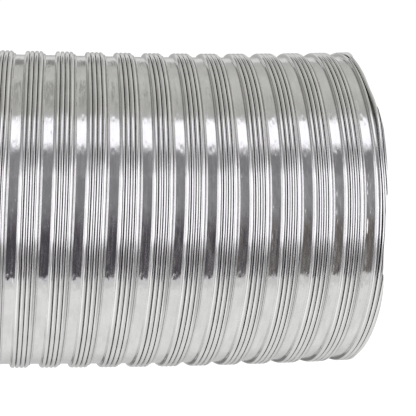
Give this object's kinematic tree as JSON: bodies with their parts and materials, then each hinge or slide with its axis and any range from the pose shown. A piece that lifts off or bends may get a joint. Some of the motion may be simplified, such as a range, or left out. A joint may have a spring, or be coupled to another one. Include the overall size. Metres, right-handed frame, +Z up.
{
  "type": "flexible air duct",
  "caption": "Flexible round air duct, wound from a pleated aluminium strip with flat lock seams between its ribs. It bends to either side and draws out from its compressed length.",
  "frame": {"origin": "on the surface that the duct lies on, under the middle of its length", "axes": "+X along the duct towards the end that is cut through a pleat, -Y towards the front, +Z up"},
  "size_m": [0.301, 0.1304, 0.13],
  "materials": {
    "seam_band": "bright, rolled flat, with fine crinkles",
    "pleats": "bright, folded"
  },
  "bodies": {
    "seam_ring_01": {"seam_ring_01": "seam_band"},
    "pleat_ring_01": {"pleat_ring_01": "pleats"},
    "seam_ring_02": {"seam_ring_02": "seam_band"},
    "pleat_ring_02": {"pleat_ring_02": "pleats"},
    "seam_ring_03": {"seam_ring_03": "seam_band"},
    "pleat_ring_03": {"pleat_ring_03": "pleats"},
    "seam_ring_04": {"seam_ring_04": "seam_band"},
    "pleat_ring_04": {"pleat_ring_04": "pleats"},
    "seam_ring_05": {"seam_ring_05": "seam_band"},
    "pleat_ring_05": {"pleat_ring_05": "pleats"},
    "seam_ring_06": {"seam_ring_06": "seam_band"},
    "pleat_ring_06": {"pleat_ring_06": "pleats"},
    "seam_ring_07": {"seam_ring_07": "seam_band"},
    "pleat_ring_07": {"pleat_ring_07": "pleats"},
    "seam_ring_08": {"seam_ring_08": "seam_band"},
    "pleat_ring_08": {"pleat_ring_08": "pleats"},
    "seam_ring_09": {"seam_ring_09": "seam_band"},
    "pleat_ring_09": {"pleat_ring_09": "pleats"},
    "seam_ring_10": {"seam_ring_10": "seam_band"},
    "pleat_ring_10": {"pleat_ring_10": "pleats"},
    "seam_ring_11": {"seam_ring_11": "seam_band"},
    "pleat_ring_11": {"pleat_ring_11": "pleats"},
    "seam_ring_12": {"seam_ring_12": "seam_band"},
    "pleat_ring_12": {"pleat_ring_12": "pleats"},
    "seam_ring_13": {"seam_ring_13": "seam_band"},
    "pleat_ring_13": {"pleat_ring_13": "pleats"},
    "seam_ring_14": {"seam_ring_14": "seam_band"},
    "pleat_ring_14": {"pleat_ring_14": "pleats"},
    "seam_ring_15": {"seam_ring_15": "seam_band"},
    "pleat_ring_15": {"pleat_ring_15": "pleats"},
    "seam_ring_16": {"seam_ring_16": "seam_band"},
    "pleat_ring_16": {"pleat_ring_16": "pleats"},
    "seam_ring_17": {"seam_ring_17": "seam_band"},
    "pleat_ring_17": {"pleat_ring_17": "pleats"},
    "seam_ring_18": {"seam_ring_18": "seam_band"},
    "pleat_ring_18": {"pleat_ring_18": "pleats"},
    "seam_ring_19": {"seam_ring_19": "seam_band"},
    "pleat_ring_19": {"pleat_ring_19": "pleats"},
    "seam_ring_20": {"seam_ring_20": "seam_band"},
    "pleat_ring_20": {"pleat_ring_20": "pleats"},
    "seam_ring_21": {"seam_ring_21": "seam_band"},
    "pleat_ring_21": {"pleat_ring_21": "pleats"},
    "seam_ring_22": {"seam_ring_22": "seam_band"},
    "pleat_ring_22": {"pleat_ring_22": "pleats"},
    "seam_ring_23": {"seam_ring_23": "seam_band"},
    "pleat_ring_23": {"pleat_ring_23": "pleats"},
    "seam_ring_24": {"seam_ring_24": "seam_band"},
    "pleat_ring_24": {"pleat_ring_24": "pleats"},
    "seam_ring_25": {"seam_ring_25": "seam_band"},
    "pleat_ring_25": {"pleat_ring_25": "pleats"}
  },
  "joints": [
    {"name": "front_pleats_13", "type": "hinge", "parent": "seam_ring_13", "child": "pleat_ring_13", "pos_m": [0.00093, 0.06525, 0.06475], "axis": [0, 0, 1], "range_deg": [0, 3.5]},
    {"name": "back_pleats_14", "type": "hinge", "parent": "pleat_ring_13", "child": "seam_ring_14", "pos_m": [0.00651, -0.06525, 0.06475], "axis": [0, 0, -1], "range_deg": [0, 3.5]},
    {"name": "front_pleats_14", "type": "hinge", "parent": "seam_ring_14", "child": "pleat_ring_14", "pos_m": [0.013, 0.06525, 0.06475], "axis": [0, 0, 1], "range_deg": [0, 3.5]},
    {"name": "back_pleats_15", "type": "hinge", "parent": "pleat_ring_14", "child": "seam_ring_15", "pos_m": [0.01859, -0.06525, 0.06475], "axis": [0, 0, -1], "range_deg": [0, 3.5]},
    {"name": "front_pleats_15", "type": "hinge", "parent": "seam_ring_15", "child": "pleat_ring_15", "pos_m": [0.02508, 0.06525, 0.06475], "axis": [0, 0, 1], "range_deg": [0, 3.5]},
    {"name": "back_pleats_16", "type": "hinge", "parent": "pleat_ring_15", "child": "seam_ring_16", "pos_m": [0.03067, -0.06525, 0.06475], "axis": [0, 0, -1], "range_deg": [0, 3.5]},
    {"name": "front_pleats_16", "type": "hinge", "parent": "seam_ring_16", "child": "pleat_ring_16", "pos_m": [0.03716, 0.06525, 0.06475], "axis": [0, 0, 1], "range_deg": [0, 3.5]},
    {"name": "back_pleats_17", "type": "hinge", "parent": "pleat_ring_16", "child": "seam_ring_17", "pos_m": [0.04274, -0.06525, 0.06475], "axis": [0, 0, -1], "range_deg": [0, 3.5]},
    {"name": "front_pleats_17", "type": "hinge", "parent": "seam_ring_17", "child": "pleat_ring_17", "pos_m": [0.04924, 0.06525, 0.06475], "axis": [0, 0, 1], "range_deg": [0, 3.5]},
    {"name": "back_pleats_18", "type": "hinge", "parent": "pleat_ring_17", "child": "seam_ring_18", "pos_m": [0.05482, -0.06525, 0.06475], "axis": [0, 0, -1], "range_deg": [0, 3.5]},
    {"name": "front_pleats_18", "type": "hinge", "parent": "seam_ring_18", "child": "pleat_ring_18", "pos_m": [0.06132, 0.06525, 0.06475], "axis": [0, 0, 1], "range_deg": [0, 3.5]},
    {"name": "back_pleats_19", "type": "hinge", "parent": "pleat_ring_18", "child": "seam_ring_19", "pos_m": [0.06691, -0.06525, 0.06475], "axis": [0, 0, -1], "range_deg": [0, 3.5]},
    {"name": "front_pleats_19", "type": "hinge", "parent": "seam_ring_19", "child": "pleat_ring_19", "pos_m": [0.0734, 0.06525, 0.06475], "axis": [0, 0, 1], "range_deg": [0, 3.5]},
    {"name": "back_pleats_20", "type": "hinge", "parent": "pleat_ring_19", "child": "seam_ring_20", "pos_m": [0.07898, -0.06525, 0.06475], "axis": [0, 0, -1], "range_deg": [0, 3.5]},
    {"name": "front_pleats_20", "type": "hinge", "parent": "seam_ring_20", "child": "pleat_ring_20", "pos_m": [0.08549, 0.06525, 0.06475], "axis": [0, 0, 1], "range_deg": [0, 3.5]},
    {"name": "back_pleats_21", "type": "hinge", "parent": "pleat_ring_20", "child": "seam_ring_21", "pos_m": [0.09106, -0.06525, 0.06475], "axis": [0, 0, -1], "range_deg": [0, 3.5]},
    {"name": "front_pleats_21", "type": "hinge", "parent": "seam_ring_21", "child": "pleat_ring_21", "pos_m": [0.09756, 0.06525, 0.06475], "axis": [0, 0, 1], "range_deg": [0, 3.5]},
    {"name": "back_pleats_22", "type": "hinge", "parent": "pleat_ring_21", "child": "seam_ring_22", "pos_m": [0.10315, -0.06525, 0.06475], "axis": [0, 0, -1], "range_deg": [0, 3.5]},
    {"name": "front_pleats_22", "type": "hinge", "parent": "seam_ring_22", "child": "pleat_ring_22", "pos_m": [0.10965, 0.06525, 0.06475], "axis": [0, 0, 1], "range_deg": [0, 3.5]},
    {"name": "back_pleats_23", "type": "hinge", "parent": "pleat_ring_22", "child": "seam_ring_23", "pos_m": [0.11522, -0.06525, 0.06475], "axis": [0, 0, -1], "range_deg": [0, 3.5]},
    {"name": "front_pleats_23", "type": "hinge", "parent": "seam_ring_23", "child": "pleat_ring_23", "pos_m": [0.12172, 0.06525, 0.06475], "axis": [0, 0, 1], "range_deg": [0, 3.5]},
    {"name": "back_pleats_24", "type": "hinge", "parent": "pleat_ring_23", "child": "seam_ring_24", "pos_m": [0.12731, -0.06525, 0.06475], "axis": [0, 0, -1], "range_deg": [0, 3.5]},
    {"name": "front_pleats_24", "type": "hinge", "parent": "seam_ring_24", "child": "pleat_ring_24", "pos_m": [0.13381, 0.06525, 0.06475], "axis": [0, 0, 1], "range_deg": [0, 3.5]},
    {"name": "back_pleats_25", "type": "hinge", "parent": "pleat_ring_24", "child": "seam_ring_25", "pos_m": [0.13939, -0.06525, 0.06475], "axis": [0, 0, -1], "range_deg": [0, 3.5]},
    {"name": "front_pleats_25", "type": "hinge", "parent": "seam_ring_25", "child": "pleat_ring_25", "pos_m": [0.14588, 0.06525, 0.06475], "axis": [0, 0, 1], "range_deg": [0, 3.5]},
    {"name": "back_pleats_13", "type": "hinge", "parent": "seam_ring_13", "child": "pleat_ring_12", "pos_m": [-0.00558, -0.06525, 0.06475], "axis": [0, 0, 1], "range_deg": [0, 3.5]},
    {"name": "front_pleats_12", "type": "hinge", "parent": "pleat_ring_12", "child": "seam_ring_12", "pos_m": [-0.01115, 0.06525, 0.06475], "axis": [0, 0, -1], "range_deg": [0, 3.5]},
    {"name": "back_pleats_12", "type": "hinge", "parent": "seam_ring_12", "child": "pleat_ring_11", "pos_m": [-0.01766, -0.06525, 0.06475], "axis": [0, 0, 1], "range_deg": [0, 3.5]},
    {"name": "front_pleats_11", "type": "hinge", "parent": "pleat_ring_11", "child": "seam_ring_11", "pos_m": [-0.02323, 0.06525, 0.06475], "axis": [0, 0, -1], "range_deg": [0, 3.5]},
    {"name": "back_pleats_11", "type": "hinge", "parent": "seam_ring_11", "child": "pleat_ring_10", "pos_m": [-0.02974, -0.06525, 0.06475], "axis": [0, 0, 1], "range_deg": [0, 3.5]},
    {"name": "front_pleats_10", "type": "hinge", "parent": "pleat_ring_10", "child": "seam_ring_10", "pos_m": [-0.03531, 0.06525, 0.06475], "axis": [0, 0, -1], "range_deg": [0, 3.5]},
    {"name": "back_pleats_10", "type": "hinge", "parent": "seam_ring_10", "child": "pleat_ring_09", "pos_m": [-0.04181, -0.06525, 0.06475], "axis": [0, 0, 1], "range_deg": [0, 3.5]},
    {"name": "front_pleats_09", "type": "hinge", "parent": "pleat_ring_09", "child": "seam_ring_09", "pos_m": [-0.04739, 0.06525, 0.06475], "axis": [0, 0, -1], "range_deg": [0, 3.5]},
    {"name": "back_pleats_09", "type": "hinge", "parent": "seam_ring_09", "child": "pleat_ring_08", "pos_m": [-0.05389, -0.06525, 0.06475], "axis": [0, 0, 1], "range_deg": [0, 3.5]},
    {"name": "front_pleats_08", "type": "hinge", "parent": "pleat_ring_08", "child": "seam_ring_08", "pos_m": [-0.05948, 0.06525, 0.06475], "axis": [0, 0, -1], "range_deg": [0, 3.5]},
    {"name": "back_pleats_08", "type": "hinge", "parent": "seam_ring_08", "child": "pleat_ring_07", "pos_m": [-0.06598, -0.06525, 0.06475], "axis": [0, 0, 1], "range_deg": [0, 3.5]},
    {"name": "front_pleats_07", "type": "hinge", "parent": "pleat_ring_07", "child": "seam_ring_07", "pos_m": [-0.07155, 0.06525, 0.06475], "axis": [0, 0, -1], "range_deg": [0, 3.5]},
    {"name": "back_pleats_07", "type": "hinge", "parent": "seam_ring_07", "child": "pleat_ring_06", "pos_m": [-0.07805, -0.06525, 0.06475], "axis": [0, 0, 1], "range_deg": [0, 3.5]},
    {"name": "front_pleats_06", "type": "hinge", "parent": "pleat_ring_06", "child": "seam_ring_06", "pos_m": [-0.08364, 0.06525, 0.06475], "axis": [0, 0, -1], "range_deg": [0, 3.5]},
    {"name": "back_pleats_06", "type": "hinge", "parent": "seam_ring_06", "child": "pleat_ring_05", "pos_m": [-0.09014, -0.06525, 0.06475], "axis": [0, 0, 1], "range_deg": [0, 3.5]},
    {"name": "front_pleats_05", "type": "hinge", "parent": "pleat_ring_05", "child": "seam_ring_05", "pos_m": [-0.09571, 0.06525, 0.06475], "axis": [0, 0, -1], "range_deg": [0, 3.5]},
    {"name": "back_pleats_05", "type": "hinge", "parent": "seam_ring_05", "child": "pleat_ring_04", "pos_m": [-0.10222, -0.06525, 0.06475], "axis": [0, 0, 1], "range_deg": [0, 3.5]},
    {"name": "front_pleats_04", "type": "hinge", "parent": "pleat_ring_04", "child": "seam_ring_04", "pos_m": [-0.1078, 0.06525, 0.06475], "axis": [0, 0, -1], "range_deg": [0, 3.5]},
    {"name": "back_pleats_04", "type": "hinge", "parent": "seam_ring_04", "child": "pleat_ring_03", "pos_m": [-0.11429, -0.06525, 0.06475], "axis": [0, 0, 1], "range_deg": [0, 3.5]},
    {"name": "front_pleats_03", "type": "hinge", "parent": "pleat_ring_03", "child": "seam_ring_03", "pos_m": [-0.11987, 0.06525, 0.06475], "axis": [0, 0, -1], "range_deg": [0, 3.5]},
    {"name": "back_pleats_03", "type": "hinge", "parent": "seam_ring_03", "child": "pleat_ring_02", "pos_m": [-0.12637, -0.06525, 0.06475], "axis": [0, 0, 1], "range_deg": [0, 3.5]},
    {"name": "front_pleats_02", "type": "hinge", "parent": "pleat_ring_02", "child": "seam_ring_02", "pos_m": [-0.13195, 0.06525, 0.06475], "axis": [0, 0, -1], "range_deg": [0, 3.5]},
    {"name": "back_pleats_02", "type": "hinge", "parent": "seam_ring_02", "child": "pleat_ring_01", "pos_m": [-0.13845, -0.06525, 0.06475], "axis": [0, 0, 1], "range_deg": [0, 3.5]},
    {"name": "front_pleats_01", "type": "hinge", "parent": "pleat_ring_01", "child": "seam_ring_01", "pos_m": [-0.14403, 0.06525, 0.06475], "axis": [0, 0, -1], "range_deg": [0, 3.5]}
  ],
  "couplings": [
    {"joint": "front_pleats_14", "follows": "front_pleats_13", "ratio": 1},
    {"joint": "back_pleats_15", "follows": "back_pleats_14", "ratio": 1},
    {"joint": "front_pleats_15", "follows": "front_pleats_13", "ratio": 1},
    {"joint": "back_pleats_16", "follows": "back_pleats_14", "ratio": 1},
    {"joint": "front_pleats_16", "follows": "front_pleats_13", "ratio": 1},
    {"joint": "back_pleats_17", "follows": "back_pleats_14", "ratio": 1},
    {"joint": "front_pleats_17", "follows": "front_pleats_13", "ratio": 1},
    {"joint": "back_pleats_18", "follows": "back_pleats_14", "ratio": 1},
    {"joint": "front_pleats_18", "follows": "front_pleats_13", "ratio": 1},
    {"joint": "back_pleats_19", "follows": "back_pleats_14", "ratio": 1},
    {"joint": "front_pleats_19", "follows": "front_pleats_13", "ratio": 1},
    {"joint": "back_pleats_20", "follows": "back_pleats_14", "ratio": 1},
    {"joint": "front_pleats_20", "follows": "front_pleats_13", "ratio": 1},
    {"joint": "back_pleats_21", "follows": "back_pleats_14", "ratio": 1},
    {"joint": "front_pleats_21", "follows": "front_pleats_13", "ratio": 1},
    {"joint": "back_pleats_22", "follows": "back_pleats_14", "ratio": 1},
    {"joint": "front_pleats_22", "follows": "front_pleats_13", "ratio": 1},
    {"joint": "back_pleats_23", "follows": "back_pleats_14", "ratio": 1},
    {"joint": "front_pleats_23", "follows": "front_pleats_13", "ratio": 1},
    {"joint": "back_pleats_24", "follows": "back_pleats_14", "ratio": 1},
    {"joint": "front_pleats_24", "follows": "front_pleats_13", "ratio": 1},
    {"joint": "back_pleats_25", "follows": "back_pleats_14", "ratio": 1},
    {"joint": "front_pleats_25", "follows": "front_pleats_13", "ratio": 1},
    {"joint": "back_pleats_13", "follows": "back_pleats_14", "ratio": 1},
    {"joint": "front_pleats_12", "follows": "front_pleats_13", "ratio": 1},
    {"joint": "back_pleats_12", "follows": "back_pleats_14", "ratio": 1},
    {"joint": "front_pleats_11", "follows": "front_pleats_13", "ratio": 1},
    {"joint": "back_pleats_11", "follows": "back_pleats_14", "ratio": 1},
    {"joint": "front_pleats_10", "follows": "front_pleats_13", "ratio": 1},
    {"joint": "back_pleats_10", "follows": "back_pleats_14", "ratio": 1},
    {"joint": "front_pleats_09", "follows": "front_pleats_13", "ratio": 1},
    {"joint": "back_pleats_09", "follows": "back_pleats_14", "ratio": 1},
    {"joint": "front_pleats_08", "follows": "front_pleats_13", "ratio": 1},
    {"joint": "back_pleats_08", "follows": "back_pleats_14", "ratio": 1},
    {"joint": "front_pleats_07", "follows": "front_pleats_13", "ratio": 1},
    {"joint": "back_pleats_07", "follows": "back_pleats_14", "ratio": 1},
    {"joint": "front_pleats_06", "follows": "front_pleats_13", "ratio": 1},
    {"joint": "back_pleats_06", "follows": "back_pleats_14", "ratio": 1},
    {"joint": "front_pleats_05", "follows": "front_pleats_13", "ratio": 1},
    {"joint": "back_pleats_05", "follows": "back_pleats_14", "ratio": 1},
    {"joint": "front_pleats_04", "follows": "front_pleats_13", "ratio": 1},
    {"joint": "back_pleats_04", "follows": "back_pleats_14", "ratio": 1},
    {"joint": "front_pleats_03", "follows": "front_pleats_13", "ratio": 1},
    {"joint": "back_pleats_03", "follows": "back_pleats_14", "ratio": 1},
    {"joint": "front_pleats_02", "follows": "front_pleats_13", "ratio": 1},
    {"joint": "back_pleats_02", "follows": "back_pleats_14", "ratio": 1},
    {"joint": "front_pleats_01", "follows": "front_pleats_13", "ratio": 1}
  ]
}
